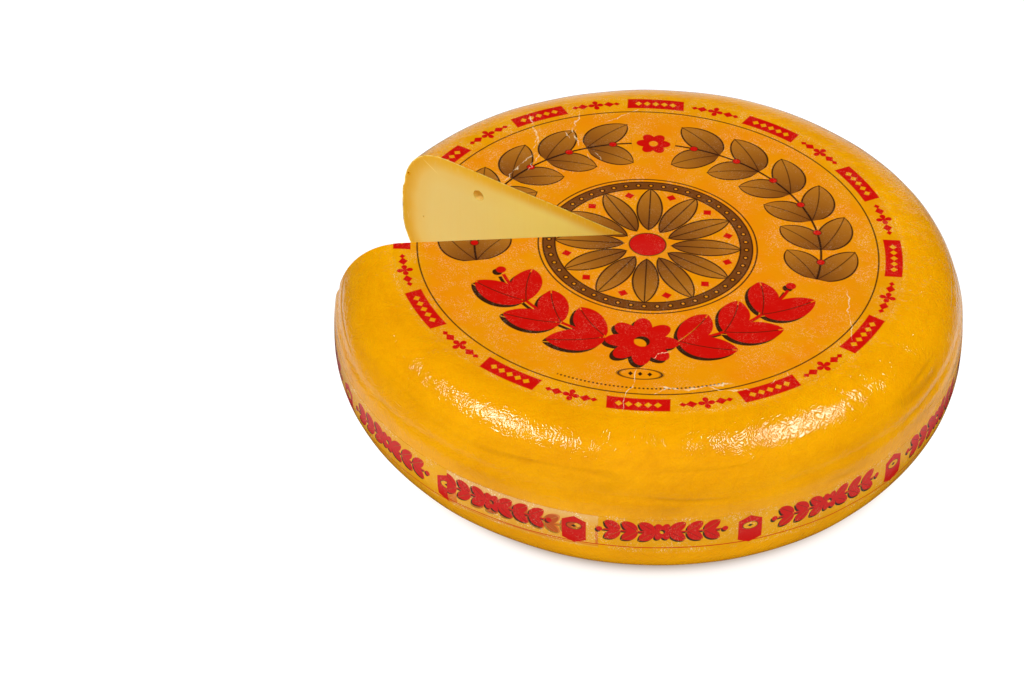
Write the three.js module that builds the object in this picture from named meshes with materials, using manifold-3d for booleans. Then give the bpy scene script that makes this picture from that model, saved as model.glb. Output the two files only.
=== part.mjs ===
// A wheel of farmhouse gouda with one wedge cut out of it, its round top label and the printed
// strip round its side. Millimetres, +Z up. The origin lies on the base, under the wheel's middle.

import * as THREE from 'three';
import { mergeVertices } from 'three/addons/utils/BufferGeometryUtils.js';
import Module from 'manifold-3d';

const wasm = await Module();
wasm.setup();

// Wheel: a flat top and a flat base, joined by a round shoulder and a round foot at the bulge
const BULGE_RADIUS = 189.3;
const BULGE_HEIGHT = 51.4;
const WHEEL_HEIGHT = 106.4;
const TOP_FLAT_RADIUS = 148.0;
const BASE_FLAT_RADIUS = 144.4;
const SHOULDER_FULLNESS = 2.87;
const FOOT_FULLNESS = 1.81;

// Unevenness of a pressed and turned cheese: the top leans, and the side swells in lobes,
// each a share of the radius
const TOP_SLOPE = { x: 0.0274, y: 0.0037 };
const SWELLS = [
  { lobes: 2, alongX: -0.0079, alongY: 0.0063 },
  { lobes: 3, alongX: -0.0060, alongY: -0.0036 },
];

// Round the notch the cut cheese has slumped: its bulge comes out further, and close to the near
// cut its shoulder sags, which makes it less full. Widths and directions are in degrees.
const BULGE_SLUMP = { amount: 3.5, direction: 185, width: 58 };
const SHOULDER_SAG = { amount: 0.48, direction: 185.5, width: 17 };

// Notch: two upright knife cuts that meet near the middle, given by their tip and directions
const NOTCH_TIP = { x: -18.3, y: 13.4 };
const BACK_CUT_DIRECTION = THREE.MathUtils.degToRad(149.6);
const NEAR_CUT_DIRECTION = THREE.MathUtils.degToRad(189.0);
const CUT_REACH = 300;
const CUT_MARGIN = 20;

// Eyes: gas holes that a cut opened. Each is given by how far along the cut it lies from the
// tip, its height, its width, and how far it goes into the paste
const BACK_CUT_EYES = [
  { along: 107.5, height: 90.6, width: 7.6, depth: 2.6 },
  { along: 26.6, height: 56.7, width: 10.4, depth: 6.8 },
  { along: 12.2, height: 55.1, width: 5.0, depth: 3.4 },
  { along: 25.3, height: 14.0, width: 5.4, depth: 3.0 },
  { along: 59.7, height: 10.4, width: 4.0, depth: 2.4 },
];
const NEAR_CUT_EYES = [
  { along: 64.0, height: 71.0, width: 9.2, depth: 3.6 },
  { along: 117.0, height: 38.5, width: 6.8, depth: 3.8 },
  { along: 92.0, height: 85.5, width: 4.4, depth: 2.6 },
  { along: 37.0, height: 27.0, width: 5.6, depth: 3.2 },
  { along: 138.0, height: 63.0, width: 4.8, depth: 1.8 },
];

// Label: a round sheet, pasted a little off the wheel's middle
const LABEL_RADIUS = 152.0;
const LABEL_CENTRE = { x: -3.7, y: 4.6 };

// Side strip: a printed sheet once round the bulge, its last stretch pasted over its first
const STRIP_BOTTOM = 39.5;
const STRIP_TOP = 64.5;
const OVERLAP_START = THREE.MathUtils.degToRad(-125.3);
const OVERLAP_END = THREE.MathUtils.degToRad(-97.1);
const OVERLAP_SEAT = 0.05;

const SHEET_THICKNESS = 0.4;
const SHEET_GAP = 0.3;

// Fineness of the faceted surfaces
const SEGMENTS = 96;
const SHOULDER_STEPS = 12;
const FOOT_STEPS = 10;
const STRIP_STEPS = 5;
const EYE_SEGMENTS = 14;
const EYE_RINGS = 8;
const MERGE_DISTANCE = 1e-4;

const rind = new THREE.MeshStandardMaterial({ color: '#eeae24', roughness: 0.3, metalness: 0 });
const labelPaper = new THREE.MeshStandardMaterial({ color: '#f0932b', roughness: 0.4, metalness: 0 });
const stripPrint = new THREE.MeshStandardMaterial({ color: '#c8321a', roughness: 0.35, metalness: 0 });

// Makes a closed geometry into a solid. A lathe's rows shrink to a point at its axis, so the
// triangles left without three different corners there are dropped.
function toSolid(geometry) {
  const bare = new THREE.BufferGeometry();
  bare.setAttribute('position', geometry.getAttribute('position'));
  bare.setIndex(geometry.getIndex());
  const merged = mergeVertices(bare, MERGE_DISTANCE);
  const corners = merged.getIndex().array;
  const triangles = [];
  for (let i = 0; i < corners.length; i += 3) {
    const [a, b, c] = corners.slice(i, i + 3);
    if (a !== b && b !== c && c !== a) triangles.push(a, b, c);
  }
  return new wasm.Manifold(new wasm.Mesh({
    numProp: 3,
    vertProperties: new Float32Array(merged.getAttribute('position').array),
    triVerts: new Uint32Array(triangles),
  }));
}

function toMesh(name, solid, material) {
  const { vertProperties, triVerts } = solid.getMesh();
  const geometry = new THREE.BufferGeometry();
  geometry.setAttribute('position', new THREE.BufferAttribute(vertProperties, 3));
  geometry.setIndex(new THREE.BufferAttribute(triVerts, 1));
  geometry.computeVertexNormals();
  const mesh = new THREE.Mesh(geometry, material);
  mesh.name = name;
  return mesh;
}

function movePoints(geometry, move) {
  const position = geometry.getAttribute('position');
  const point = new THREE.Vector3();
  for (let i = 0; i < position.count; i += 1) {
    point.fromBufferAttribute(position, i);
    move(point);
    position.setXYZ(i, point.x, point.y, point.z);
  }
  return geometry;
}

// A hump round the wheel: its full amount in one direction, fading to nothing at both sides.
function humpAt(angle, { amount, direction, width }) {
  const turn = THREE.MathUtils.radToDeg(angle) - direction;
  const nearest = THREE.MathUtils.euclideanModulo(turn + 180, 360) - 180;
  return amount * Math.exp(-((nearest / width) ** 2));
}

// Slumps the side round the notch. Each point keeps its height and its distance from the side.
function slumpSide(point) {
  const radius = Math.hypot(point.x, point.y);
  if (radius === 0) return;
  const angle = Math.atan2(point.y, point.x);
  const slump = humpAt(angle, BULGE_SLUMP);
  const sag = humpAt(angle, SHOULDER_SAG);
  const share = 1 + (sideRadius(point.z, slump, sag) - sideRadius(point.z)) / radius;
  point.x *= share;
  point.y *= share;
}

// Swells the side in or out round the wheel.
function swellSide(point) {
  const angle = Math.atan2(point.y, point.x);
  let share = 1;
  for (const { lobes, alongX, alongY } of SWELLS) {
    share += alongX * Math.cos(lobes * angle) + alongY * Math.sin(lobes * angle);
  }
  point.x *= share;
  point.y *= share;
}

// Leans the top. The slope fades from full at the top to nothing at the bulge.
function leanTop(point) {
  const rise = (point.z - BULGE_HEIGHT) / (WHEEL_HEIGHT - BULGE_HEIGHT);
  const fade = THREE.MathUtils.clamp(rise, 0, 1);
  point.z -= fade * (TOP_SLOPE.x * point.x + TOP_SLOPE.y * point.y);
}

function makeUneven(geometry) {
  return movePoints(geometry, (point) => {
    slumpSide(point);
    swellSide(point);
    leanTop(point);
  });
}

// The shoulder and the foot are quarters of a superellipse. A turn of 0 is at the flat face,
// and a turn of a quarter circle is at the bulge.
function quarterPoint(flatRadius, flatHeight, fullness, turn) {
  const power = 2 / fullness;
  return new THREE.Vector2(
    flatRadius + (BULGE_RADIUS - flatRadius) * Math.sin(turn) ** power,
    BULGE_HEIGHT + (flatHeight - BULGE_HEIGHT) * Math.cos(turn) ** power,
  );
}

const QUARTER_TURN = Math.PI / 2;

function shoulderPoint(turn) {
  return quarterPoint(TOP_FLAT_RADIUS, WHEEL_HEIGHT, SHOULDER_FULLNESS, turn);
}

function footPoint(turn) {
  return quarterPoint(BASE_FLAT_RADIUS, 0, FOOT_FULLNESS, turn);
}

// The side's radius at a height, from the superellipse of the quarter that it lies in. Slump is
// added to the bulge's radius, and sag is taken off the shoulder's fullness.
function sideRadius(height, slump = 0, sag = 0) {
  const isShoulder = height > BULGE_HEIGHT;
  const flatRadius = isShoulder ? TOP_FLAT_RADIUS : BASE_FLAT_RADIUS;
  const flatHeight = isShoulder ? WHEEL_HEIGHT : 0;
  const fullness = isShoulder ? SHOULDER_FULLNESS - sag : FOOT_FULLNESS;
  const rise = (height - BULGE_HEIGHT) / (flatHeight - BULGE_HEIGHT);
  const share = THREE.MathUtils.clamp(rise, 0, 1) ** fullness;
  return flatRadius + (BULGE_RADIUS + slump - flatRadius) * (1 - share) ** (1 / fullness);
}

// Turns a profile of radius and height round the upright axis.
function turnProfile(profile) {
  return new THREE.LatheGeometry(profile, SEGMENTS).rotateX(QUARTER_TURN);
}

// An upright prism between two directions from a tip, past the rim and past both flat faces.
function sectorPrism(tip, startAngle, endAngle) {
  const outline = new THREE.Shape();
  outline.moveTo(tip.x, tip.y);
  for (const angle of [startAngle, endAngle]) {
    outline.lineTo(tip.x + CUT_REACH * Math.cos(angle), tip.y + CUT_REACH * Math.sin(angle));
  }
  outline.closePath();
  const depth = WHEEL_HEIGHT + 2 * CUT_MARGIN;
  const prism = new THREE.ExtrudeGeometry(outline, { depth, bevelEnabled: false });
  return toSolid(prism.translate(0, 0, -CUT_MARGIN));
}

// An eye is an ellipsoid centred on the cut's plane, so the cut leaves half of it open.
function eyeSolid(cutDirection, { along, height, width, depth }) {
  const eye = new THREE.SphereGeometry(1, EYE_SEGMENTS, EYE_RINGS);
  eye.scale(width / 2, depth, width / 2);
  eye.rotateZ(cutDirection);
  eye.translate(
    NOTCH_TIP.x + along * Math.cos(cutDirection),
    NOTCH_TIP.y + along * Math.sin(cutDirection),
    height,
  );
  return toSolid(eye);
}

function wholeWheelSolid() {
  const profile = [new THREE.Vector2(0, 0)];
  for (let i = 0; i <= FOOT_STEPS; i += 1) {
    profile.push(footPoint((QUARTER_TURN * i) / FOOT_STEPS));
  }
  for (let i = SHOULDER_STEPS - 1; i >= 0; i -= 1) {
    profile.push(shoulderPoint((QUARTER_TURN * i) / SHOULDER_STEPS));
  }
  profile.push(new THREE.Vector2(0, WHEEL_HEIGHT));
  return toSolid(makeUneven(turnProfile(profile)));
}

function cheeseSolid(notch) {
  let cheese = wholeWheelSolid().subtract(notch);
  for (const eye of BACK_CUT_EYES) {
    cheese = cheese.subtract(eyeSolid(BACK_CUT_DIRECTION, eye));
  }
  for (const eye of NEAR_CUT_EYES) {
    cheese = cheese.subtract(eyeSolid(NEAR_CUT_DIRECTION, eye));
  }
  return cheese;
}

function labelSolid(notch) {
  const sheet = new THREE.CylinderGeometry(LABEL_RADIUS, LABEL_RADIUS, SHEET_THICKNESS, SEGMENTS);
  const middleHeight = WHEEL_HEIGHT + SHEET_GAP + SHEET_THICKNESS / 2;
  sheet.rotateX(QUARTER_TURN).translate(LABEL_CENTRE.x, LABEL_CENTRE.y, middleHeight);
  return toSolid(movePoints(sheet, leanTop)).subtract(notch);
}

// A thin ring round the side, its two faces these distances out from the rind.
function sideRing(innerOffset, outerOffset) {
  const profile = [];
  for (let i = 0; i <= STRIP_STEPS; i += 1) {
    const height = THREE.MathUtils.lerp(STRIP_BOTTOM, STRIP_TOP, i / STRIP_STEPS);
    profile.push(new THREE.Vector2(sideRadius(height) + outerOffset, height));
  }
  for (let i = STRIP_STEPS; i >= 0; i -= 1) {
    const height = THREE.MathUtils.lerp(STRIP_BOTTOM, STRIP_TOP, i / STRIP_STEPS);
    profile.push(new THREE.Vector2(sideRadius(height) + innerOffset, height));
  }
  profile.push(profile[0].clone());
  return toSolid(makeUneven(turnProfile(profile)));
}

function stripSolid(notch) {
  const outerFace = SHEET_GAP + SHEET_THICKNESS;
  const ring = sideRing(SHEET_GAP, outerFace).subtract(notch);
  const secondLayer = sideRing(outerFace - OVERLAP_SEAT, outerFace + SHEET_THICKNESS);
  const overlap = secondLayer.intersect(sectorPrism({ x: 0, y: 0 }, OVERLAP_START, OVERLAP_END));
  return ring.add(overlap);
}

const notch = sectorPrism(NOTCH_TIP, BACK_CUT_DIRECTION, NEAR_CUT_DIRECTION);

const group = new THREE.Group();
group.add(toMesh('cheese_wheel', cheeseSolid(notch), rind));
group.add(toMesh('top_label', labelSolid(notch), labelPaper));
group.add(toMesh('side_strip', stripSolid(notch), stripPrint));

export default group;
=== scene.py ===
"""A wheel of farmhouse gouda with a wedge cut out of it, its printed label and its side strip.

Lengths are in metres. The wheel stands on Z = 0 with its axis on the origin, and the notch
opens towards -X.
"""

import math
from functools import partial, reduce

import bpy
from bpy.props import FloatProperty, FloatVectorProperty, PointerProperty
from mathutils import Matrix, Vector, noise
from mathutils.bvhtree import BVHTree


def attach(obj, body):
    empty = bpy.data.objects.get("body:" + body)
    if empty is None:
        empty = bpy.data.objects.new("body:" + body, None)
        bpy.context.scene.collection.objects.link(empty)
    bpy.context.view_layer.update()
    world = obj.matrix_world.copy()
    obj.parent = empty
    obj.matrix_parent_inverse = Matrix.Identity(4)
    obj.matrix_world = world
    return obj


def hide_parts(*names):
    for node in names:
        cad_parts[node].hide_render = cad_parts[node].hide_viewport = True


bl_info = {
    "name": "Gouda Wheel",
    "version": (1, 0, 0),
    "blender": (4, 5, 0),
    "location": "3D View > Sidebar > Gouda",
    "description": "Models a cut wheel of farmhouse gouda with its label and side strip",
    "category": "Object",
}

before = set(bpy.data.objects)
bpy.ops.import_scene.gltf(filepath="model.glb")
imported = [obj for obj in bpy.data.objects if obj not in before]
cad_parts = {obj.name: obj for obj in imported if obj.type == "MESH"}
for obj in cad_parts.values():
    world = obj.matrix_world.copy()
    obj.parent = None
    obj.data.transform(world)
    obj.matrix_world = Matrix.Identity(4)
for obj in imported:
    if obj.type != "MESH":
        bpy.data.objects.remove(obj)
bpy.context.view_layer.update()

MM = 0.001
FULL_TURN = 2 * math.pi

# The wheel's driving dimensions, as in the part
BULGE_RADIUS = 189.3 * MM
BULGE_HEIGHT = 51.4 * MM
WHEEL_HEIGHT = 106.4 * MM
TOP_FLAT_RADIUS = 148.0 * MM
BASE_FLAT_RADIUS = 144.4 * MM
SHOULDER_FULLNESS = 2.87
FOOT_FULLNESS = 1.81
SHOULDER = (TOP_FLAT_RADIUS, WHEEL_HEIGHT, SHOULDER_FULLNESS)
FOOT = (BASE_FLAT_RADIUS, 0.0, FOOT_FULLNESS)
TOP_SLOPE = (0.0274, 0.0037)
SWELLS = ((2, -0.0079, 0.0063), (3, -0.0060, -0.0036))
# Slump round the notch: amount, direction and width, the last two in degrees
BULGE_SLUMP = (3.5 * MM, 185, 58)
SHOULDER_SAG = (0.48, 185.5, 17)
NOTCH_TIP = Vector((-18.3, 13.4)) * MM
BACK_CUT = math.radians(149.6)
NEAR_CUT = math.radians(189.0)
LABEL_RADIUS = 152 * MM
LABEL_CENTRE = Vector((-3.7, 4.6)) * MM
STRIP_BOTTOM = 39.5 * MM
STRIP_WIDTH = 25 * MM
OVERLAP_START = math.radians(-125.3)
OVERLAP_END = math.radians(-97.1)

# Sizes of the skin's dents, the press mark round the shoulder, and the rind's specks
DENTS = (62 * MM, 24 * MM)
GROOVE_HEIGHT = 79 * MM
GROOVE_HALF_WIDTH = 2.4 * MM
SPECK_PITCH = 24 * MM

# From each cut face straight into the notch
CUT_NORMALS = (
    Vector((-math.sin(BACK_CUT), math.cos(BACK_CUT))),
    Vector((math.sin(NEAR_CUT), -math.cos(NEAR_CUT))),
)
# The knife's slow and fine waver: length outwards, length up and amount
KNIFE_WAVERS = ((34 * MM, 110 * MM, 0.28 * MM), (7 * MM, 60 * MM, 0.05 * MM))
CUTTER_REACH = 205 * MM
CUTTER_BOTTOM = -8 * MM
CUTTER_TOP = 122 * MM

# Eyes that the cuts opened: along the cut, height, width and depth, all in millimetres
BACK_EYES = (
    (106.9, 91.4, 7.8, 4.2), (26.6, 56.7, 10.4, 6.8), (12.2, 55.1, 5.0, 3.4),
    (25.3, 14.0, 5.4, 3.0), (59.7, 10.4, 4.0, 2.4), (122.4, 4.8, 2.8, 1.6),
    (160.6, 86.9, 2.2, 1.2), (150.1, 56.9, 1.3, 0.9), (94.3, 8.6, 1.4, 1.0),
    (78.6, 6.8, 1.4, 1.0), (66.4, 6.7, 1.2, 0.9),
)
NEAR_EYES = (
    (64.0, 71.0, 9.2, 3.6), (117.0, 38.5, 6.8, 3.8), (92.0, 85.5, 4.4, 2.6),
    (37.0, 27.0, 5.6, 3.2), (138.0, 63.0, 4.8, 1.8), (71.0, 7.0, 1.6, 1.1),
    (101.0, 9.2, 1.3, 1.0), (128.0, 90.0, 1.8, 1.2),
)

# A shallow scratch on the back cut: along the cut and height of its ends, in millimetres
SCRATCH = ((149.6, 103.0), (136.9, 95.1))

# Fineness of the modelled meshes
WHEEL_SEGMENTS = 360
TOP_RINGS = 18
SHOULDER_RINGS = 50
FOOT_RINGS = 42
BASE_RINGS = 14
WHEEL_RINGS = TOP_RINGS + SHOULDER_RINGS + FOOT_RINGS + BASE_RINGS
LABEL_RINGS = 40
STRIP_ROWS = 12
OVERLAP_COLUMNS = 60
CUT_GRID = 110
SMOOTH_BELOW = math.radians(35)

# The paper sheets are sunk into the coat, so that only a thin edge of them shows
PAPER_THICKNESS = 0.27 * MM
PAPER_LIFT = -0.15 * MM
OVERLAP_LIFT = -0.02 * MM


def screen(red, green, blue):
    """A colour given as it shows on a screen, 0 to 255, as linear light."""
    shares = (red / 255, green / 255, blue / 255)
    return tuple(s / 12.92 if s <= 0.04045 else ((s + 0.055) / 1.055) ** 2.4 for s in shares)


def colour_property(name, description, *levels):
    return FloatVectorProperty(
        name=name, description=description, default=screen(*levels), subtype="COLOR", min=0, max=1
    )


def number_property(name, description, default, **settings):
    return FloatProperty(name=name, description=description, default=default, **settings)


class CheeseSettings(bpy.types.PropertyGroup):
    dent_depth: number_property(
        "Dent Depth", "How far the skin's broad dents go in or out", 0.55 * MM, unit="LENGTH"
    )
    groove_depth: number_property(
        "Groove Depth", "Depth of the press mark round the shoulder", 0.9 * MM, unit="LENGTH"
    )
    rind_light: colour_property("Rind Light", "Lighter yellow of the coated rind", 242, 168, 2)
    rind_deep: colour_property("Rind Deep", "Deeper yellow of the coated rind", 224, 148, 2)
    # A dark yellow: painted shade in the rind's folds, and the own colour of the rind's specks and of the
    # drying paste near the rind
    rind_fold: colour_property("Rind Fold", "Bottom of the soft folds", 168, 104, 2)
    paste: colour_property("Paste", "Pale middle of the cut cheese", 234, 203, 114)
    rim: colour_property("Rim", "Golden paste under the rind", 239, 178, 2)
    # Paste paler towards the notch's tip: partly its own tone, partly painted light that lifts the shade
    # deep in the notch
    heart: colour_property("Heart", "Palest paste near the wheel's middle", 249, 226, 116)
    coat_edge: colour_property("Coat Edge", "Cut edge of the coat", 250, 218, 118)


class PrintSettings(bpy.types.PropertyGroup):
    paper: colour_property("Paper", "Ground of the label", 238, 137, 6)
    red: colour_property("Red", "Red ink", 205, 16, 8)
    dark: colour_property("Dark", "Ink of the outlines and shadows", 58, 30, 12)
    brown: colour_property("Brown", "Base of the leaves", 118, 64, 20)
    olive: colour_property("Olive", "Tips of the leaves", 184, 114, 30)
    fibre: colour_property("Fibre", "Paper fibres and creases in the coat", 255, 230, 186)


class StageSettings(bpy.types.PropertyGroup):
    floor: colour_property("Floor", "Studio floor", 137, 137, 137)
    surroundings: number_property("Surroundings", "Strength of the even studio light", 0.09, min=0)
    front_fill: number_property("Front Fill", "Strength of light from the viewer's side", 0.78, min=0)
    backdrop: number_property("Backdrop", "What gloss shows low behind the cheese", 0.9, min=0)
    floor_glow: number_property("Floor Glow", "How far the floor is lit from below", 0.6, min=0)
    left_power: number_property("Left Light", "Power of the soft light at the left", 17.5, unit="POWER")
    right_power: number_property("Right Light", "Power of the soft light overhead", 13.6, unit="POWER")


def arithmetic(operation):
    """A Value's two methods for one operation, with the other term second and with it first."""
    return (
        lambda value, other: value.graph.math(operation, value, other),
        lambda value, other: value.graph.math(operation, other, value),
    )


class Value:
    """What a socket carries over a surface. Arithmetic with it adds math nodes."""

    __add__, __radd__ = arithmetic("ADD")
    __sub__, __rsub__ = arithmetic("SUBTRACT")
    __mul__, __rmul__ = arithmetic("MULTIPLY")
    __truediv__ = arithmetic("DIVIDE")[0]
    __pow__ = arithmetic("POWER")[0]

    def __init__(self, graph, socket):
        self.graph = graph
        self.socket = socket

    def __abs__(self):
        return self.graph.math("ABSOLUTE", self)

    def __neg__(self):
        return self * -1


class Graph:
    """Adds nodes to one node tree and links them."""

    def __init__(self, tree):
        self.tree = tree

    def feed(self, socket, value):
        if isinstance(value, Value):
            self.tree.links.new(value.socket, socket)
        elif socket.type == "RGBA" and len(value) == 3:
            socket.default_value = (*value, 1)
        else:
            socket.default_value = value

    def add(self, kind, inputs=None, **settings):
        node = self.tree.nodes.new(kind)
        for name, setting in settings.items():
            setattr(node, name, setting)
        for name, value in (inputs or {}).items():
            self.feed(node.inputs[name], value)
        return node

    def value(self, output, kind, inputs=None, **settings):
        """What one output of a new node carries."""
        return Value(self, self.add(kind, inputs, **settings).outputs[output])

    def math(self, operation, *values, clamp=False):
        inputs = dict(enumerate(values))
        return self.value(0, "ShaderNodeMath", inputs, operation=operation, use_clamp=clamp)

    def lowest(self, *values):
        return reduce(partial(self.math, "MINIMUM"), values)

    def highest(self, *values):
        return reduce(partial(self.math, "MAXIMUM"), values)

    def length(self, across, along):
        return self.math("SQRT", across * across + along * along)

    def angle(self, rise, run):
        return self.math("ARCTAN2", rise, run)

    def clamp(self, value):
        return self.math("ADD", value, 0.0, clamp=True)

    def inked(self, field, softness):
        """1 inside a shape, where its field is positive, and 0 outside."""
        return self.math("ADD", field / softness, 0.5, clamp=True)

    def split(self, vector):
        node = self.add("ShaderNodeSeparateXYZ", {"Vector": vector})
        return [Value(self, output) for output in node.outputs]

    def join(self, x, y, z=0.0):
        return self.value("Vector", "ShaderNodeCombineXYZ", {"X": x, "Y": y, "Z": z})

    def place(self, vector, centre=(0, 0, 0), turn=0.0, unit=(1, 1, 1)):
        """The vector in a frame with its own centre, turn about Z in degrees, and unit lengths."""
        rotation = (0, 0, math.radians(turn))
        inputs = {"Vector": vector, "Location": centre, "Rotation": rotation, "Scale": unit}
        return self.value("Vector", "ShaderNodeMapping", inputs, vector_type="TEXTURE")

    def noise(self, vector, scale, detail=2.0, roughness=0.5):
        inputs = {"Vector": vector, "Scale": scale, "Detail": detail, "Roughness": roughness}
        return self.value(0, "ShaderNodeTexNoise", inputs)

    def long_noise(self, vector, length, width, turn=0.0, **settings):
        """Noise in the XY plane whose spots have a length and a width in millimetres."""
        return self.noise(self.place(vector, turn=turn, unit=(length * MM, width * MM, 1)), 1, **settings)

    def stroke(self, vector, start, end, half_width):
        """A thin stroke with pointed ends in the XY plane: 1 along its middle, 0 outside."""
        across, along = end[0] - start[0], end[1] - start[1]
        middle = ((start[0] + end[0]) / 2, (start[1] + end[1]) / 2, 0)
        unit = (math.hypot(across, along) * 0.58, half_width, 1)
        turned = self.place(vector, middle, math.degrees(math.atan2(along, across)), unit)
        share = self.value(1, "ShaderNodeTexGradient", {"Vector": turned}, gradient_type="SPHERICAL")
        return self.rise(share, 0.0, 0.6)

    def mix(self, share, first, second):
        return self.value(2, "ShaderNodeMix", {0: share, 6: first, 7: second}, data_type="RGBA")

    def coats(self, colour, *coats):
        """The colour under coats of others, each given as its mask and its colour."""
        for mask, coat in coats:
            colour = self.mix(mask, colour, coat)
        return colour

    def ramp(self, share, *stops):
        node = self.add("ShaderNodeValToRGB", {"Fac": share})
        elements = node.color_ramp.elements
        while len(elements) < len(stops):
            elements.new(0.5)
        for element, (position, colour) in zip(elements, stops):
            element.position = position
            element.color = (*colour, 1)
        return Value(self, node.outputs["Color"])

    def rise(self, value, start, end):
        """0 below start, 1 above end, and a smooth step between."""
        inputs = {"Value": value, "From Min": start, "From Max": end}
        return self.value("Result", "ShaderNodeMapRange", inputs, interpolation_type="SMOOTHSTEP")

    def fall(self, value, start, end):
        return 1 - self.rise(value, start, end)

    def repeat(self, value, pitch):
        """The place within a cell that is one pitch wide, 0 at the cell's middle."""
        return self.math("WRAP", value, pitch / 2, -pitch / 2)

    def row(self, value, start, pitch, cells):
        """The place within a cell of a row, and a field that is positive along the whole row."""
        past = value - start
        return self.math("FLOORED_MODULO", past, pitch), self.lowest(past, pitch * cells - past)


# Kinds of the node groups' sockets by name, where they aren't plain numbers
SOCKET_KINDS = {"Vector": "Vector", "Color": "Color", "Light": "Color", "Deep": "Color", "Fold": "Color"}


def add_sockets(tree, direction, names):
    for name in names:
        kind = "NodeSocket" + SOCKET_KINDS.get(name, "Float")
        tree.interface.new_socket(name, in_out=direction, socket_type=kind)


def node_group(name, *inputs):
    """Makes a function that adds nodes into one that places them as a shared node group.

    The group is built on first use, and the new function gives its outputs by their names.
    """
    def build(fill):
        tree = bpy.data.node_groups.new(name, "ShaderNodeTree")
        graph = Graph(tree)
        add_sockets(tree, "INPUT", inputs)
        entry = graph.add("NodeGroupInput").outputs
        results = fill(graph, *[Value(graph, entry[socket]) for socket in inputs])
        add_sockets(tree, "OUTPUT", results)
        graph.add("NodeGroupOutput", results)
        return tree

    def wrap(fill):
        def place(graph, *values):
            tree = bpy.data.node_groups.get(name) or build(fill)
            node = graph.add("ShaderNodeGroup", node_tree=tree)
            for socket, value in zip(inputs, values):
                graph.feed(node.inputs[socket], value)
            return {output.name: Value(graph, output) for output in node.outputs}

        return place

    return wrap


@node_group("Rind Skin", "Vector", "Light", "Deep", "Fold")
def rind_skin(graph, spot, light, deep, fold):
    """The coated rind: cloudy yellow with streaks, soft folds with painted shade along their bottoms,
    specks, and fine wrinkles.
    """
    x, y, z = graph.split(spot)
    radius = graph.length(x, y)
    around = graph.angle(y, x) * BULGE_RADIUS
    wrapped = graph.join(around, z - radius)
    drift = graph.noise(spot, 60) * (22 * MM)
    sway = graph.noise(spot, 47) * (22 * MM)
    waved = graph.join(around + drift, z - radius + sway)
    clouds = graph.noise(spot, 22, detail=3)
    streaks = graph.long_noise(wrapped, 110, 13, detail=4, roughness=0.6)
    ridges = graph.long_noise(waved, 20, 4.5, turn=38)
    mottle = graph.noise(spot, 160, detail=4)
    grain = graph.noise(spot, 950)
    share = clouds * 1.5 + streaks * 0.9 + ridges * 0.6 + mottle * 0.7 + grain * 0.8 - 1.75
    colour = graph.mix(graph.clamp(share), deep, light)
    # Soft folds round the side: a bump, and painted shade along their bottoms
    rolling = graph.long_noise(wrapped, 190, 24, detail=1)
    folds = graph.fall(abs(rolling - 0.5), 0.0, 0.05)
    folds = folds * graph.rise(z, 0.064, 0.073) * graph.fall(z, 0.090, 0.098)
    folds = folds * graph.rise(graph.noise(spot, 17, detail=1), 0.40, 0.58)
    speck = graph.value("Distance", "ShaderNodeTexVoronoi", {"Vector": spot, "Scale": 1 / SPECK_PITCH})
    specks = graph.fall(speck * SPECK_PITCH, 0.36 * MM, 0.6 * MM) * graph.rise(radius, 0.152, 0.156)
    ripples = (
        graph.long_noise(waved, 4.3, 1.28, turn=38, detail=0)
        + graph.long_noise(waved, 3.9, 1.22, turn=-62, detail=0)
    )
    patches = graph.rise(graph.noise(spot, 34), 0.3, 0.7) * 0.35 + 0.65
    # The colour takes painted shade in the folds; the specks are dark marks of the rind's own
    return {
        "Color": graph.coats(colour, (folds * 0.3, fold), (specks * 0.8, fold)),
        "Wrinkles": ripples * patches * 0.5,
        "Folds": ridges * 0.22 - folds * 0.3,
        "Peel": graph.noise(spot, 620, detail=3),
    }


@node_group("Paper Fibres", "Vector")
def paper_fibres(graph, spot):
    """Short pale fibres that lie in all directions in the paper."""
    layers = []
    for step in range(4):
        turned = graph.place(
            spot, centre=(0.31 * step, 0, 0.17 * step),
            turn=20 + 47 * step, unit=(1.9 * MM, 0.45 * MM, 1.4 * MM),
        )
        layers.append(graph.rise(graph.noise(turned, 1, detail=1), 0.64, 0.74))
    clumps = graph.noise(spot, 90, detail=3)
    return {"Fibres": graph.highest(*layers) * graph.rise(clumps, 0.36, 0.68)}


# White creases in the label's coat, in thousandths of its radius: each one's way and half width
CREASES = (
    (((-550, 864), (-526, 843), (-502, 768), (-459, 620)), 7.5),
    (((-480, 681), (-482, 637), (-498, 591)), 4),
    (((-456, 564), (-482, 512), (-506, 441)), 4),
    (((-478, 574), (-540, 487), (-560, 430), (-593, 363)), 5),
    (((-308, 883), (-335, 765), (-335, 727), (-302, 628)), 5),
    (((-275, 593), (-259, 545)), 4),
    (((-238, 597), (-204, 544)), 4),
    (((-68, 926), (-96, 897), (-204, 816)), 5),
    (((-363, 730), (-342, 681)), 3.5),
    (((64, -857), (166, -868), (250, -840), (348, -813)), 11),
    (((252, -842), (309, -857), (412, -846)), 6),
    (((112, -850), (73, -891), (54, -897)), 5),
    (((-18, -759), (-22, -847), (-52, -924), (-55, -1000)), 5),
    (((41, -695), (58, -676), (117, -648)), 4.5),
    (((499, -774), (482, -805)), 4),
    (((544, -729), (542, -755)), 4),
    (((777, -216), (782, -387), (798, -518)), 5),
)


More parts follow.
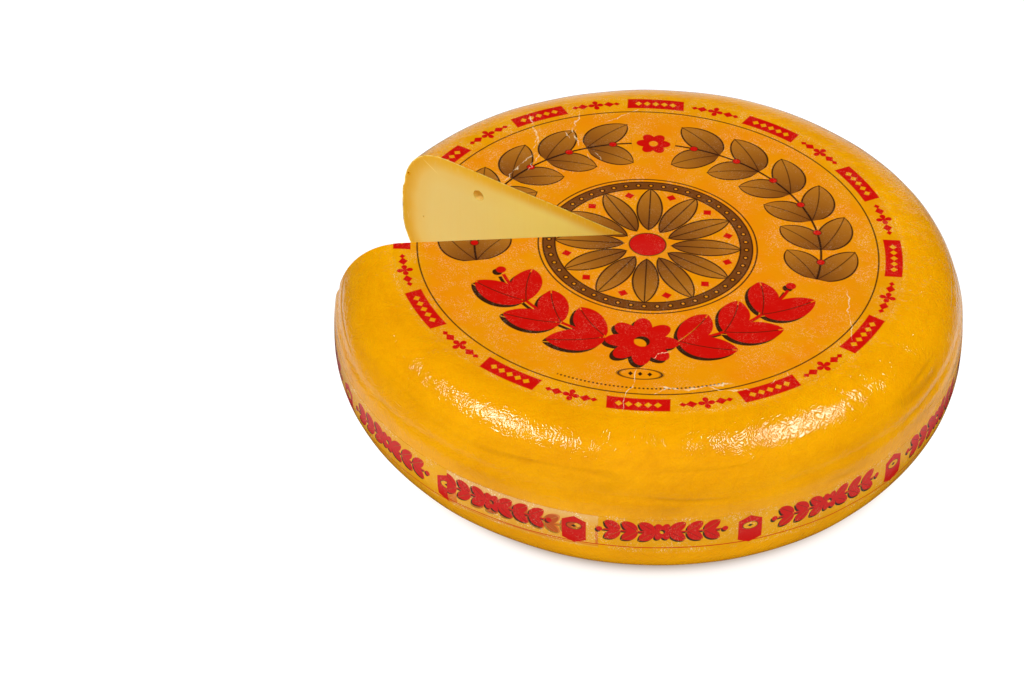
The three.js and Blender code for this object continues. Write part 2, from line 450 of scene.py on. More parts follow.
@node_group("Coat Creases", "Vector")
def coat_creases(graph, spot):
    """The label's creases as one mask, wavering and broken. X and Y are in label radii."""
    u, v, _ = graph.split(spot)
    across = graph.noise(spot, 26, detail=3) - 0.5
    along = graph.noise(spot, 31, detail=3) - 0.5
    waved = graph.join(u * 1000 + across * 40, v * 1000 + along * 40)
    creases = 0.0
    for way, half_width in CREASES:
        for start, end in zip(way, way[1:]):
            creases = graph.highest(creases, graph.stroke(waved, start, end, half_width * 0.62))
    broken = graph.rise(graph.noise(spot, 130, detail=3), 0.34, 0.56)
    return {"Creases": creases * (broken * 0.8 + 0.2)}


@node_group("Leaf Shape", "X", "Y", "Length", "Half Width")
def leaf_shape(graph, x, y, length, half_width):
    """A pointed leaf along X from the origin. Field is positive inside it."""
    along = graph.clamp(x / length)
    breadth = (along * (1 - along) * 4) ** 0.75 * half_width
    return {"Field": graph.lowest(breadth - abs(y), x, length - x), "Along": along}


def leaf_pair(graph, across, along, length, half_width, tilt):
    """Two leaves that part from the line along = 0: their field, tone and middle ribs."""
    fields, tones, ribs = [], [], []
    for turn in (tilt, -tilt):
        cosine, sine = math.cos(turn), math.sin(turn)
        x, y = across * cosine + along * sine, along * cosine - across * sine
        leaf = leaf_shape(graph, x, y, length, half_width)
        fields.append(leaf["Field"])
        tones.append(leaf["Along"] * graph.inked(leaf["Field"], 0.01))
        ribs.append(graph.lowest(0.03 * half_width - abs(y), leaf["Field"]))
    return graph.highest(*fields), graph.highest(*tones), graph.highest(*ribs)


def leafy_spray(graph, place, rise, row, leaf, half_stem, bud):
    """Leaf pairs on a stem along rise = 0, with open ribs, and a bud past the stem's end."""
    cell, inside = graph.row(place, *row)
    leaves, _, ribs = leaf_pair(graph, cell, rise, *leaf)
    spray = graph.lowest(graph.highest(leaves, half_stem - abs(rise)), inside)
    start, pitch, cells = row
    bud_place, bud_radius = bud
    buds = bud_radius - graph.length(place - start - pitch * cells - bud_place, rise)
    return graph.highest(graph.lowest(spray, -ribs), buds)


def blossom(graph, x, y, lobes, petal, radius, heart):
    """The field of a flower with round petals and an open heart."""
    reach = graph.length(x, y)
    petals = abs(graph.math("COSINE", graph.angle(y, x) * lobes)) * petal
    return graph.lowest(petals + radius - reach, reach - heart)


# The label's print, in shares of its radius. A row is its start, its pitch and how many cells
# it has, a leaf its length, half width and tilt, a bud its place and radius, and a blossom half
# its number of petals, how far they stand out, its radius and its heart's radius
PRINT_SOFTNESS = 0.004
RING_PITCH = math.radians(30)
RING_MIDDLE = 0.965
BLOCK_HALF = (0.118, 0.034)
RING_BUDS = ((0.056, 0.019), (0.088, 0.012))
WREATH_RADIUS = 0.68
WREATH_ROW = (1.33, 0.28, 6)
WREATH_LEAF = (0.225, 0.064, math.radians(36))
WREATH_BERRY = (0.112, 0.015)
GARLAND_RADIUS = 0.60
GARLAND_ROW = (0.138, 0.186, 3)
GARLAND_LEAF = (0.215, 0.062, math.radians(33))
GARLAND_STEM = 0.007
GARLAND_BUD = (0.03, 0.02)
GARLAND_SHADOW = (0.013, 0.016)
FRONT_BLOSSOM = (4, 0.045, 0.095, 0.03)
BACK_BLOSSOM = (3, 0.022, 0.048, 0.018)
BAND_MIDDLE = 0.388
BEAD_PITCH = math.radians(7.5)
GEM_RADIUS = 0.325
PETAL_PITCH = math.radians(30)
PETAL_START = 0.095
PETAL_LEAF = (0.27, 0.050)
OVAL_PLACE = 0.79
OVAL_HALF = (0.082, 0.030)
DOT_RING = 0.872


@node_group("Garland", "U", "V")
def garland(graph, u, v):
    """The red garland in the label's front half: a blossom with leafy sprays at both sides."""
    arc = graph.angle(abs(u), -v) * GARLAND_RADIUS
    out = graph.length(u, v) - GARLAND_RADIUS
    sprays = leafy_spray(graph, arc, out, GARLAND_ROW, GARLAND_LEAF, GARLAND_STEM, GARLAND_BUD)
    flower = blossom(graph, u, v + GARLAND_RADIUS, *FRONT_BLOSSOM)
    return {"Field": graph.highest(sprays, flower)}


@node_group("Label Print", "Vector")
def label_print(graph, spot):
    """The label's ornament as masks: red ink, dark lines, brown leaf fields and their tone."""
    u, v, _ = graph.split(spot)
    radius = graph.length(u, v)
    angle = graph.angle(u, -v)
    from_front = abs(angle)

    # Ring of blocks with lozenges left open in them, and a small flower with buds between
    tangent = graph.repeat(angle, RING_PITCH) * radius
    out = abs(radius - RING_MIDDLE)
    block = graph.lowest(BLOCK_HALF[0] - abs(tangent), BLOCK_HALF[1] - out)
    open_part = 0.0115 - abs(graph.repeat(tangent, 0.036)) * 0.8 - out * 0.8
    open_part = graph.lowest(open_part, 0.09 - abs(tangent))
    between = abs(graph.repeat(angle + RING_PITCH / 2, RING_PITCH) * radius)
    petals = abs(graph.math("COSINE", graph.angle(out, between) * 2)) ** 0.5 * 0.032
    ring = graph.highest(graph.lowest(block, -open_part), petals - graph.length(out, between))
    for place, half in RING_BUDS:
        ring = graph.highest(ring, half - abs(between - place) * 0.8 - out)

    # Wreath of brown leaves from the front flanks to the back
    cell, inside = graph.row(from_front, *WREATH_ROW)
    across, along = cell * WREATH_RADIUS, radius - WREATH_RADIUS
    leaves, leaf_tone, ribs = leaf_pair(graph, across, along, *WREATH_LEAF)
    leaves = graph.lowest(leaves, inside)
    berry = WREATH_BERRY[1] - graph.length(across - WREATH_BERRY[0], along)
    berry = graph.lowest(berry, inside)
    stem = graph.lowest(0.0045 - abs(along), inside)

    # Rosette in the middle, in a band with beads, and gems round it
    petal_angle = graph.repeat(angle, PETAL_PITCH)
    x = graph.math("COSINE", petal_angle) * radius - PETAL_START
    y = graph.math("SINE", petal_angle) * radius
    petal = leaf_shape(graph, x, y, *PETAL_LEAF)
    petal_tone = petal["Along"] * graph.inked(petal["Field"], PRINT_SOFTNESS)
    heart = 0.07 - radius
    bead_arc = graph.repeat(angle, BEAD_PITCH) * BAND_MIDDLE
    beads = 0.0085 - graph.length(bead_arc, radius - BAND_MIDDLE)
    band = graph.lowest(0.024 - abs(radius - BAND_MIDDLE), -beads)
    gem_arc = graph.repeat(angle + PETAL_PITCH / 2, PETAL_PITCH) * radius
    gems = 0.021 - abs(gem_arc) - abs(radius - GEM_RADIUS)

    # Small oval with three lozenges, and a row of dots, at the front
    up = v + OVAL_PLACE
    oval = 0.0022 - abs(graph.length(u / OVAL_HALF[0], up / OVAL_HALF[1]) - 1) * 0.03
    oval_gems = graph.lowest(0.0095 - abs(graph.repeat(u, 0.036)) - abs(up) * 0.8, 0.055 - abs(u))
    dots = 0.0042 - graph.length(graph.repeat(angle, 0.018) * DOT_RING, radius - DOT_RING)
    dots = graph.lowest(dots, 0.36 - from_front)

    red = graph.highest(
        garland(graph, u, v)["Field"], ring, berry, heart, gems,
        blossom(graph, u, v - WREATH_RADIUS, *BACK_BLOSSOM),
    )
    shadow = garland(graph, u + GARLAND_SHADOW[0], v + GARLAND_SHADOW[1])["Field"]
    outlines = graph.highest(
        graph.lowest(0.0035 - abs(leaves), inside), 0.0035 - abs(petal["Field"]),
        0.0045 - abs(heart), 0.003 - abs(berry), 0.003 - abs(band),
        0.003 - abs(radius - 0.430), 0.0028 - abs(radius - 0.905),
        graph.lowest(ribs, inside), graph.lowest(0.0025 - abs(y), petal["Field"]),
    )
    dark = graph.highest(shadow, outlines, stem, oval, oval_gems, dots)
    brown = graph.highest(leaves, petal["Field"], band)
    return {
        "Red": graph.inked(red, PRINT_SOFTNESS),
        "Dark": graph.inked(dark, PRINT_SOFTNESS),
        "Brown": graph.inked(brown, PRINT_SOFTNESS),
        "Tone": graph.highest(leaf_tone, petal_tone),
    }


# The side strip's print, in millimetres along the strip and up from its bottom edge
STRIP_SOFTNESS = 0.35
STRIP_PITCH = 98.8
LINE_HEIGHT = 3.4
LOZENGE_HEIGHT = 12.6
OPENING_RISE = 3.2
OPENING_HALF = (4.6, 2.7)
SPRAY_HEIGHT = 16.4
SPRAY_ROW = (4, 9.6, 3)
SPRAY_LEAF = (11.0, 3.3, math.radians(37))
SPRAY_STEM = 0.55
SPRAY_BUD = (2.2, 1.7)
SPRAY_BLOSSOM = (3, 2.4, 4.2, 1.5)
SPRAY_SHADOW = 0.95


@node_group("Strip Print", "Along", "Height")
def strip_print(graph, along, height):
    """The strip's ornament as masks: a line, lozenges, and leafy sprays with a dark shadow."""

    def spray(shift):
        place = abs(graph.repeat(along + shift + STRIP_PITCH / 2, STRIP_PITCH))
        rise = height + shift - SPRAY_HEIGHT
        leaves = leafy_spray(graph, place, rise, SPRAY_ROW, SPRAY_LEAF, SPRAY_STEM, SPRAY_BUD)
        return graph.highest(leaves, blossom(graph, place, rise, *SPRAY_BLOSSOM))

    local = abs(graph.repeat(along, STRIP_PITCH))
    rise = height - LOZENGE_HEIGHT
    lozenge = graph.lowest(6.9 - local, 10.6 - local * 0.5 - abs(rise))
    rise = rise - OPENING_RISE
    opening = 1 - graph.length(local / OPENING_HALF[0], rise / OPENING_HALF[1])
    opening = opening * OPENING_HALF[1]
    pip = 1.0 - local * 0.6 - abs(rise)
    line = 0.36 - abs(height - LINE_HEIGHT)
    red = graph.highest(graph.lowest(lozenge, -opening), spray(0), line)
    dark = graph.highest(spray(SPRAY_SHADOW), pip, 0.3 - abs(opening))
    return {"Red": graph.inked(red, STRIP_SOFTNESS), "Dark": graph.inked(dark, STRIP_SOFTNESS)}


def start_material(name, settings):
    """A new material: its graph, its shader's inputs, and the object's own coordinates."""
    material = bpy.data.materials.new(name)
    material.use_nodes = True
    graph = Graph(material.node_tree)
    shader = material.node_tree.nodes["Principled BSDF"].inputs
    for socket, value in settings.items():
        shader[socket].default_value = value
    return material, graph, shader, graph.value("Object", "ShaderNodeTexCoord")


def finish_shader(graph, shader, colour, height):
    """Gives a shader its colour, and bump from a height in millimetres."""
    graph.feed(shader["Base Color"], colour)
    inputs = {"Height": height, "Strength": 1.0, "Distance": MM}
    graph.feed(shader["Normal"], graph.value("Normal", "ShaderNodeBump", inputs))


COATED = {
    "Roughness": 0.09,
    "Specular IOR Level": 0.6,
    "Specular Tint": (1.0, 0.9, 0.85, 1),
    "Subsurface Weight": 0.12,
    "Subsurface Radius": (1.0, 0.45, 0.1),
    "Subsurface Scale": 3 * MM,
}


def coated_material(name, cheese):
    """A material under the clear coat, with the rind's node group and the paper fibres' mask."""
    material, graph, shader, spot = start_material(name, COATED)
    rind = rind_skin(graph, spot, cheese.rind_light, cheese.rind_deep, cheese.rind_fold)
    return material, graph, shader, spot, rind, paper_fibres(graph, spot)["Fibres"]


def label_place(graph, spot):
    """The place on the label, in shares of its radius from its middle."""
    return graph.place(spot, (*LABEL_CENTRE, 0), unit=(LABEL_RADIUS,) * 3)


def rind_material(cheese, inks):
    """The rind, with the paper's fibres fraying out past the edges of the label and the strip."""
    material, graph, shader, spot, rind, fibres = coated_material("rind", cheese)
    u, v, _ = graph.split(label_place(graph, spot))
    z = graph.split(spot)[2]
    past_label = graph.fall(graph.length(u, v), 1.0, 1.03) * graph.rise(z, 0.08, 0.09)
    off_strip = abs(z - STRIP_BOTTOM - STRIP_WIDTH / 2) - STRIP_WIDTH / 2
    past_strip = graph.fall(off_strip, 0, 3 * MM)
    fringe = fibres * graph.highest(past_label, past_strip) * 0.6
    height = rind["Wrinkles"] * 0.47 + rind["Peel"] * 0.04 + rind["Folds"]
    finish_shader(graph, shader, graph.mix(fringe, rind["Color"], inks.fibre), height)
    return material


def blend(share, first, second):
    return tuple((1 - share) * a + share * b for a, b in zip(first, second))


def paste_material(name, settings, roughness):
    """Cut cheese. The mesh's depth attribute says how far under the rind a point lies, in mm."""
    material, graph, shader, spot = start_material(name, {
        "Roughness": roughness,
        "Specular IOR Level": 0.22,
        "Subsurface Weight": 0.3,
        "Subsurface Radius": (1.0, 0.75, 0.35),
        "Subsurface Scale": 6 * MM,
    })
    depth = graph.value("Fac", "ShaderNodeAttribute", attribute_name="depth")
    x, y, z = graph.split(spot)
    x, y = x - NOTCH_TIP.x, y - NOTCH_TIP.y
    from_tip = graph.length(x, y)
    drag = graph.noise(graph.join(from_tip * 900, z * 22), 1, detail=3)
    broad_drag = graph.noise(graph.join(from_tip * 260, z * 12), 1)
    strokes = graph.noise(graph.join(from_tip * 620, z * 120), 1, detail=3)
    blotches = graph.noise(spot, 75, detail=3)
    under_rind = graph.fall(depth, 3, 12)
    fade = depth + (blotches - 0.5) * 3 + (strokes - 0.5) * under_rind * 5
    rim, paste = settings.rim, settings.paste
    stops = (0.10, rim), (0.24, blend(0.2, rim, paste)), (0.46, blend(0.7, rim, paste)), (0.90, paste)
    inner = graph.ramp(fade / 25, *stops)
    # Paler paste towards the notch's tip, away from the rind: partly the paste's own tone, partly painted
    # light that lifts the shade deep in the notch
    pale_tip_and_painted_light = graph.fall(from_tip, 40 * MM, 130 * MM) * graph.rise(depth, 4, 12) * 0.9
    drying = graph.rise(from_tip, 110 * MM, 180 * MM) * (0.16 + under_rind * 0.22)
    coat = graph.fall(depth + (strokes - 0.5) * 0.8, 0.4, 0.85)
    coat = coat * graph.rise(graph.noise(spot, 260), 0.32, 0.55)
    torn = graph.rise(strokes, 0.58, 0.72) * graph.fall(depth, 2, 7)
    on_near_cut = graph.rise(-y, 0, 1 * MM)
    face_place = graph.join(from_tip / MM, z / MM, on_near_cut * 99)
    scratch = graph.stroke(face_place, *SCRATCH, 0.55)
    pale = graph.highest(coat * 0.8, torn * 0.25, scratch * 0.5)
    # Painted shade in the eyes: their walls darken towards the rim colour deeper into each hole, mixed
    # with knife drag marks of the paste's own
    off_planes = [abs(x * normal.x + y * normal.y) for normal in CUT_NORMALS]
    painted_hole_shade = graph.rise(graph.lowest(*off_planes), 0.5 * MM, 3.5 * MM)
    shade = graph.clamp((drag - 0.5) * 0.22 + (broad_drag - 0.5) * 0.2 + painted_hole_shade * 0.5)
    colour = graph.coats(
        inner, (pale_tip_and_painted_light, settings.heart), (drying, settings.rind_fold),
        (pale, settings.coat_edge), (shade, rim),
    )
    height = drag * 0.05 + broad_drag * 0.1 + graph.noise(spot, 420, detail=3) * 0.05
    finish_shader(graph, shader, colour, height + strokes * under_rind * 0.12)
    return material


def label_material(cheese, inks):
    """The label's paper, thin in places, with its print and the creases of the coat over it."""
    material, graph, shader, spot, rind, fibres = coated_material("label", cheese)
    centred = label_place(graph, spot)
    u, v, _ = graph.split(centred)
    masks = label_print(graph, centred)
    creases = coat_creases(graph, centred)["Creases"]
    clouds = graph.noise(spot, 30, detail=4, roughness=0.6)
    thin_rim = graph.rise(graph.length(u, v), 0.86, 0.96) * 0.58
    thin = graph.clamp(graph.rise(clouds, 0.3, 0.75) * 0.45 + thin_rim)
    pale = fibres * (graph.rise(v, -0.6, 0.4) * 0.14 + 0.22)
    colour = graph.coats(
        inks.paper, (thin, rind["Color"]), (pale, inks.fibre),
        (masks["Brown"], graph.mix(masks["Tone"], inks.brown, inks.olive)),
        (masks["Dark"], inks.dark), (masks["Red"], inks.red),
        (graph.highest(fibres * 0.12, creases * 0.72), inks.fibre),
    )
    height = rind["Wrinkles"] * 0.08 + rind["Peel"] * 0.03 + fibres * 0.02 + creases * 0.08
    finish_shader(graph, shader, colour, height)
    return material


def strip_material(cheese, inks):
    """The strip's thin paper with its print. Its first end shows through where the last lies over it."""
    material, graph, shader, spot, rind, fibres = coated_material("strip", cheese)
    x, y, z = graph.split(spot)
    angle = graph.angle(y, x)
    along = angle * (BULGE_RADIUS / MM)
    height = (z - STRIP_BOTTOM) / MM
    width = STRIP_WIDTH / MM
    wander = (graph.noise(graph.join(along, 0), 0.02, detail=1) - 0.5) * 2.4
    first = strip_print(graph, along + 38.0, height + wander)
    last = strip_print(graph, along + 19.0, height + 1.5 - wander)
    past_start = graph.rise(angle, OVERLAP_START - 0.001, OVERLAP_START + 0.001)
    before_end = graph.fall(angle, OVERLAP_END - 0.001, OVERLAP_END + 0.001)
    doubled = past_start * before_end
    edge = graph.fall(graph.lowest(height, width - height), 0, 4)
    upper = graph.rise(height, 16, width)
    pale = fibres * (0.3 + edge * 0.4 + doubled * 0.5) + doubled * (0.05 + upper * 0.18)
    seen_through = before_end * (1 - doubled * 0.45)
    colour = graph.coats(
        rind["Color"], (graph.clamp(pale), inks.fibre),
        (last["Dark"] * seen_through, inks.dark), (last["Red"] * seen_through, inks.red),
        (first["Dark"] * past_start, inks.dark), (first["Red"] * past_start, inks.red),
        (fibres * 0.14, inks.fibre),
    )
    relief = rind["Wrinkles"] * 0.14 + rind["Peel"] * 0.04 + fibres * 0.03
    finish_shader(graph, shader, colour, relief)
    return material


def pick(*pieces):
    """Selects these pieces alone and makes the first of them active."""
    bpy.ops.object.select_all(action="DESELECT")
    for piece in pieces:
        piece.select_set(True)
    bpy.context.view_layer.objects.active = pieces[0]


def new_piece(name, add_primitive, **settings):
    bpy.ops.object.select_all(action="DESELECT")
    add_primitive(**settings)
    piece = bpy.context.object
    piece.name = piece.data.name = name
    return piece


def reshape(piece, moved):
    """Moves each point of the mesh to where a function puts it."""
    for vertex in piece.data.vertices:
        vertex.co = moved(vertex.co)
    piece.data.update()


def subdivide(piece, kind, chosen, cuts):
    """Subdivides the faces or edges that a test picks by their corners."""
    pick(piece)
    bpy.ops.object.mode_set(mode="EDIT")
    bpy.ops.mesh.select_mode(type=kind)
    bpy.ops.mesh.select_all(action="DESELECT")
    bpy.ops.object.mode_set(mode="OBJECT")
    for part in piece.data.polygons if kind == "FACE" else piece.data.edges:
        part.select = chosen([piece.data.vertices[i].co for i in part.vertices])
    bpy.ops.object.mode_set(mode="EDIT")
    bpy.ops.mesh.subdivide(number_cuts=cuts)
    bpy.ops.object.mode_set(mode="OBJECT")


def apply_modifier(piece, kind, **settings):
    """Adds one modifier with its settings and applies it."""
    pick(piece)
    modifier = piece.modifiers.new(kind.lower(), kind)
    for name, setting in settings.items():
        setattr(modifier, name, setting)
    bpy.ops.object.modifier_apply(modifier=modifier.name)


def cut_out(piece, cutter):
    apply_modifier(piece, "BOOLEAN", operation="DIFFERENCE", solver="MANIFOLD", object=cutter)


def thicken(sheet):
    apply_modifier(sheet, "SOLIDIFY", thickness=PAPER_THICKNESS, offset=1)


def join_pieces(pieces):
    """Joins the pieces into the first of them."""
    pick(*pieces)
    bpy.ops.object.join()
    return pieces[0]


def delete_piece(piece):
    bpy.data.meshes.remove(piece.data)


def wear(piece, *materials):
    """Puts the materials in the piece's slots and shades it smooth but for its sharp edges."""
    piece.data.materials.clear()
    for material in materials:
        piece.data.materials.append(material)
    pick(piece)
    bpy.ops.object.shade_smooth_by_angle(angle=SMOOTH_BELOW)


def quarter_point(flat_radius, flat_height, fullness, share):
    """A point of the shoulder or the foot, from 0 at its flat face to 1 at the bulge."""
    turn, power = math.pi / 2 * share, 2 / fullness
    radius = flat_radius + (BULGE_RADIUS - flat_radius) * math.sin(turn) ** power
    height = BULGE_HEIGHT + (flat_height - BULGE_HEIGHT) * max(math.cos(turn), 0) ** power
    return radius, height


def ring_point(ring):
    """Radius and height of one ring of the whole wheel, counted from the top's middle."""
    from_base = WHEEL_RINGS - ring
    if ring <= TOP_RINGS:
        return TOP_FLAT_RADIUS * ring / TOP_RINGS, WHEEL_HEIGHT
    if from_base < BASE_RINGS:
        return BASE_FLAT_RADIUS * from_base / BASE_RINGS, 0.0
    if ring <= TOP_RINGS + SHOULDER_RINGS:
        return quarter_point(*SHOULDER, (ring - TOP_RINGS) / SHOULDER_RINGS)
    return quarter_point(*FOOT, (from_base - BASE_RINGS) / FOOT_RINGS)


def hump_at(angle, amount, direction, width):
    """A hump round the wheel, at its full amount in one direction."""
    nearest = (math.degrees(angle) - direction + 180) % 360 - 180
    return amount * math.exp(-((nearest / width) ** 2))


def slumped_sizes(angle):
    """The bulge's radius and the shoulder's fullness in a direction."""
    bulge = BULGE_RADIUS + hump_at(angle, *BULGE_SLUMP)
    return bulge, SHOULDER_FULLNESS - hump_at(angle, *SHOULDER_SAG)


def limited(share):
    return min(max(share, 0), 1)


def smooth_step(value, start, end):
    share = limited((value - start) / (end - start))
    return share * share * (3 - 2 * share)


def side_radius(height, bulge=BULGE_RADIUS, fullness=SHOULDER_FULLNESS):
    """The side's radius at a height."""
    flat_radius, flat_height = TOP_FLAT_RADIUS, WHEEL_HEIGHT
    if height <= BULGE_HEIGHT:
        flat_radius, flat_height, fullness = FOOT
    share = limited((height - BULGE_HEIGHT) / (flat_height - BULGE_HEIGHT)) ** fullness
    return flat_radius + (bulge - flat_radius) * (1 - share) ** (1 / fullness)


def swell_at(angle):
    """The side's swell in a direction, as a share of the radius."""
    return 1 + sum(
        along_x * math.cos(lobes * angle) + along_y * math.sin(lobes * angle)
        for lobes, along_x, along_y in SWELLS
    )


def lean(x, y):
    """How far the leaning top lies below its middle."""
    return TOP_SLOPE[0] * x + TOP_SLOPE[1] * y


def top_height(x, y):
    """Height of the skin over a point of the top."""
    angle = math.atan2(y, x)
    radius = math.hypot(x, y) / swell_at(angle)
    bulge, fullness = slumped_sizes(angle)
    share = limited((radius - TOP_FLAT_RADIUS) / (bulge - TOP_FLAT_RADIUS))
    rise = (1 - share**fullness) ** (1 / fullness)
    return BULGE_HEIGHT + (WHEEL_HEIGHT - BULGE_HEIGHT) * rise - rise * lean(x, y)


def dent_height(point, settings):
    """How far a point of the skin lies out of the smooth form."""
    on_side = smooth_step(math.hypot(point.x, point.y), 159 * MM, 174 * MM)
    if point.z < BULGE_HEIGHT:
        on_side *= smooth_step(point.z, 2 * MM, 14 * MM)
    broad = noise.noise(point / DENTS[0])
    small = noise.noise(point / DENTS[1] + Vector((5, 0, 0)))
    angle = math.atan2(point.y, point.x)
    waver = noise.noise(Vector((2.2 * math.cos(angle), 2.2 * math.sin(angle), 4)))
    share = (point.z - GROOVE_HEIGHT - 3 * MM * waver) / GROOVE_HALF_WIDTH
    groove = math.exp(-share * share) * (0.62 + 0.8 * waver)
    lip = math.exp(-((share + 2.6) ** 2) / 3) * 0.35
    dents = settings.dent_depth * (broad + 0.35 * small)
    return on_side * (dents - settings.groove_depth * (groove - lip))


def skin_point(angle, radius, height, settings, lift=0.0):
    """A point of the uneven, dented skin, given on the smooth wheel."""
    radius += side_radius(height, *slumped_sizes(angle)) - side_radius(height)
    towards = Vector((math.cos(angle), math.sin(angle), 0))
    point = towards * (radius * swell_at(angle))
    fade = limited((height - BULGE_HEIGHT) / (WHEEL_HEIGHT - BULGE_HEIGHT))
    point.z = height - fade * lean(point.x, point.y)
    out = towards * (radius - BULGE_RADIUS + BULGE_HEIGHT)
    out.z = height - BULGE_HEIGHT
    return point + out.normalized() * (dent_height(point, settings) + lift)


def strip_point(angle, share, settings, lift):
    """A point of the side strip, a share of its width above its bottom edge."""
    height = STRIP_BOTTOM + share * STRIP_WIDTH
    return skin_point(angle, side_radius(height), height, settings, lift)


def cut_point(cut, along, height):
    """A point on the plane of a cut."""
    return Vector((
        NOTCH_TIP.x + along * math.cos(cut), NOTCH_TIP.y + along * math.sin(cut), height
    ))


def whole_wheel(settings):
    """The uncut wheel, shaped from a ball whose rings are moved onto the wheel's profile."""
    wheel = new_piece(
        "cheese", bpy.ops.mesh.primitive_uv_sphere_add,
        segments=WHEEL_SEGMENTS, ring_count=WHEEL_RINGS, radius=1,
    )

    def on_profile(spot):
        polar = math.acos(min(max(spot.z, -1), 1))
        ring = round(polar / math.pi * WHEEL_RINGS)
        radius, height = ring_point(ring)
        if ring in (0, WHEEL_RINGS):
            return 0, 0, height
        return skin_point(math.atan2(spot.y, spot.x), radius, height, settings)

    reshape(wheel, on_profile)
    return wheel


def notch_cutter():
    """The space of the notch: a three-sided prism whose two cut faces have a knife's waver."""
    cutter = new_piece(
        "notch_cutter", bpy.ops.mesh.primitive_cylinder_add, vertices=3, radius=1, depth=1
    )
    corners = [NOTCH_TIP] + [cut_point(cut, CUTTER_REACH, 0) for cut in (BACK_CUT, NEAR_CUT)]
    first = min(math.atan2(v.co.y, v.co.x) % FULL_TURN for v in cutter.data.vertices)

    def at_corner(spot):
        turn = math.atan2(spot.y, spot.x) % FULL_TURN - first
        corner = corners[round(turn / (FULL_TURN / 3)) % 3]
        return corner.x, corner.y, CUTTER_TOP if spot.z > 0 else CUTTER_BOTTOM

    def wavered(spot):
        flat = spot.to_2d() - NOTCH_TIP
        from_tip = flat.length
        for normal, seed in zip(CUT_NORMALS, (0, 7)):
            if abs(flat.dot(normal)) < 1e-5 and 1e-5 < from_tip < CUTTER_REACH - 1e-5:
                push = smooth_step(from_tip, 0, 12 * MM) * sum(
                    amount * noise.noise(Vector((from_tip / outwards, spot.z / up, seed + 3 * step)))
                    for step, (outwards, up, amount) in enumerate(KNIFE_WAVERS)
                )
                spot = spot + normal.to_3d() * push
        return spot

    reshape(cutter, at_corner)
    subdivide(
        cutter, "FACE",
        lambda corners: len(corners) == 4 and any((c.xy - NOTCH_TIP).length < 1e-6 for c in corners),
        CUT_GRID,
    )
    reshape(cutter, wavered)
    return cutter


def eye_ball(cut, along, height, width, depth):
    """One gas hole, a little lumpy, centred on the cut's plane. Its sizes are in millimetres."""
    ball = new_piece(
        "eye", bpy.ops.mesh.primitive_ico_sphere_add, subdivisions=4 if width > 3 else 3, radius=1
    )
    middle = cut_point(cut, along * MM, height * MM)
    towards = Vector((math.cos(cut), math.sin(cut), 0)) * (width / 2 * MM)
    inwards = Vector((-math.sin(cut), math.cos(cut), 0)) * (depth * MM)
    up = Vector((0, 0, width / 2 * MM))

    def swollen(spot):
        lump = 1 + 0.10 * noise.noise(spot * 1.6 + Vector((along, height, 0)))
        return middle + (towards * spot.x + inwards * spot.y + up * spot.z) * lump

    reshape(ball, swollen)
    return ball


def mark_paste(cheese, skin_tree, eyes):
    """Gives cut faces the paste, the eyes' walls theirs, and each point its depth in mm."""
    mesh = cheese.data
    depths = [skin_tree.find_nearest(vertex.co)[3] / MM for vertex in mesh.vertices]
    mesh.attributes.new("depth", "FLOAT", "POINT").data.foreach_set("value", depths)
    for face in mesh.polygons:
        under_skin = skin_tree.find_nearest(face.center)[3]
        flat = face.center.xy - NOTCH_TIP
        off_plane = min(abs(flat.dot(normal)) for normal in CUT_NORMALS)
        if under_skin < 0.03 * MM or off_plane >= 8 * MM or flat.x >= 2 * MM:
            continue
        in_eye = any((face.center - middle).length < reach for middle, reach in eyes)
        tilted = max(abs(face.normal.xy.dot(normal)) for normal in CUT_NORMALS) < 0.985
        face.material_index = 2 if in_eye and (tilted or off_plane > 0.45 * MM) else 1
    mesh.update()


class GOUDA_OT_cheese(bpy.types.Operator):
    """Model the wheel with its notch and eyes"""

    bl_idname = "gouda.cheese"
    bl_label = "Cheese"

    def execute(self, context):
        settings = context.scene.gouda_cheese
        cheese = whole_wheel(settings)
        context.view_layer.update()
        skin_tree = BVHTree.FromObject(cheese, context.evaluated_depsgraph_get())
        cut_out(cheese, notch_cutter())
        balls, eyes = [], []
        for cut, cut_eyes in ((BACK_CUT, BACK_EYES), (NEAR_CUT, NEAR_EYES)):
            for along, height, width, depth in cut_eyes:
                balls.append(eye_ball(cut, along, height, width, depth))
                reach = max(width / 2, depth) * 1.15 * MM
                eyes.append((cut_point(cut, along * MM, height * MM), reach))
        bubbles = join_pieces(balls)
        cut_out(cheese, bubbles)
        delete_piece(bubbles)
        wear(
            cheese,
            rind_material(settings, context.scene.gouda_print),
            paste_material("paste", settings, 0.5),
            paste_material("eye_wall", settings, 0.25),
        )
        mark_paste(cheese, skin_tree, eyes)
        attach(cheese, "root")
        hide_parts("cheese_wheel")
        return {"FINISHED"}


class GOUDA_OT_label(bpy.types.Operator):
    """Model the round printed label on the top"""

    bl_idname = "gouda.label"
    bl_label = "Label"

    def execute(self, context):
        label = new_piece(
            "label", bpy.ops.mesh.primitive_circle_add,
            vertices=WHEEL_SEGMENTS, radius=LABEL_RADIUS, fill_type="TRIFAN",
        )

        def on_top(spot):
            """Rings lie close together near the rim, where the label bends down."""
            x, y = spot.xy * (2 - spot.length / LABEL_RADIUS) + LABEL_CENTRE
            return x, y, top_height(x, y) + PAPER_LIFT

        subdivide(label, "EDGE", lambda ends: min(end.length for end in ends) < 1e-6, LABEL_RINGS)
        reshape(label, on_top)
        thicken(label)
        cut_out(label, bpy.data.objects["notch_cutter"])
        wear(label, label_material(context.scene.gouda_cheese, context.scene.gouda_print))
        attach(label, "root")
        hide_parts("top_label")
        return {"FINISHED"}


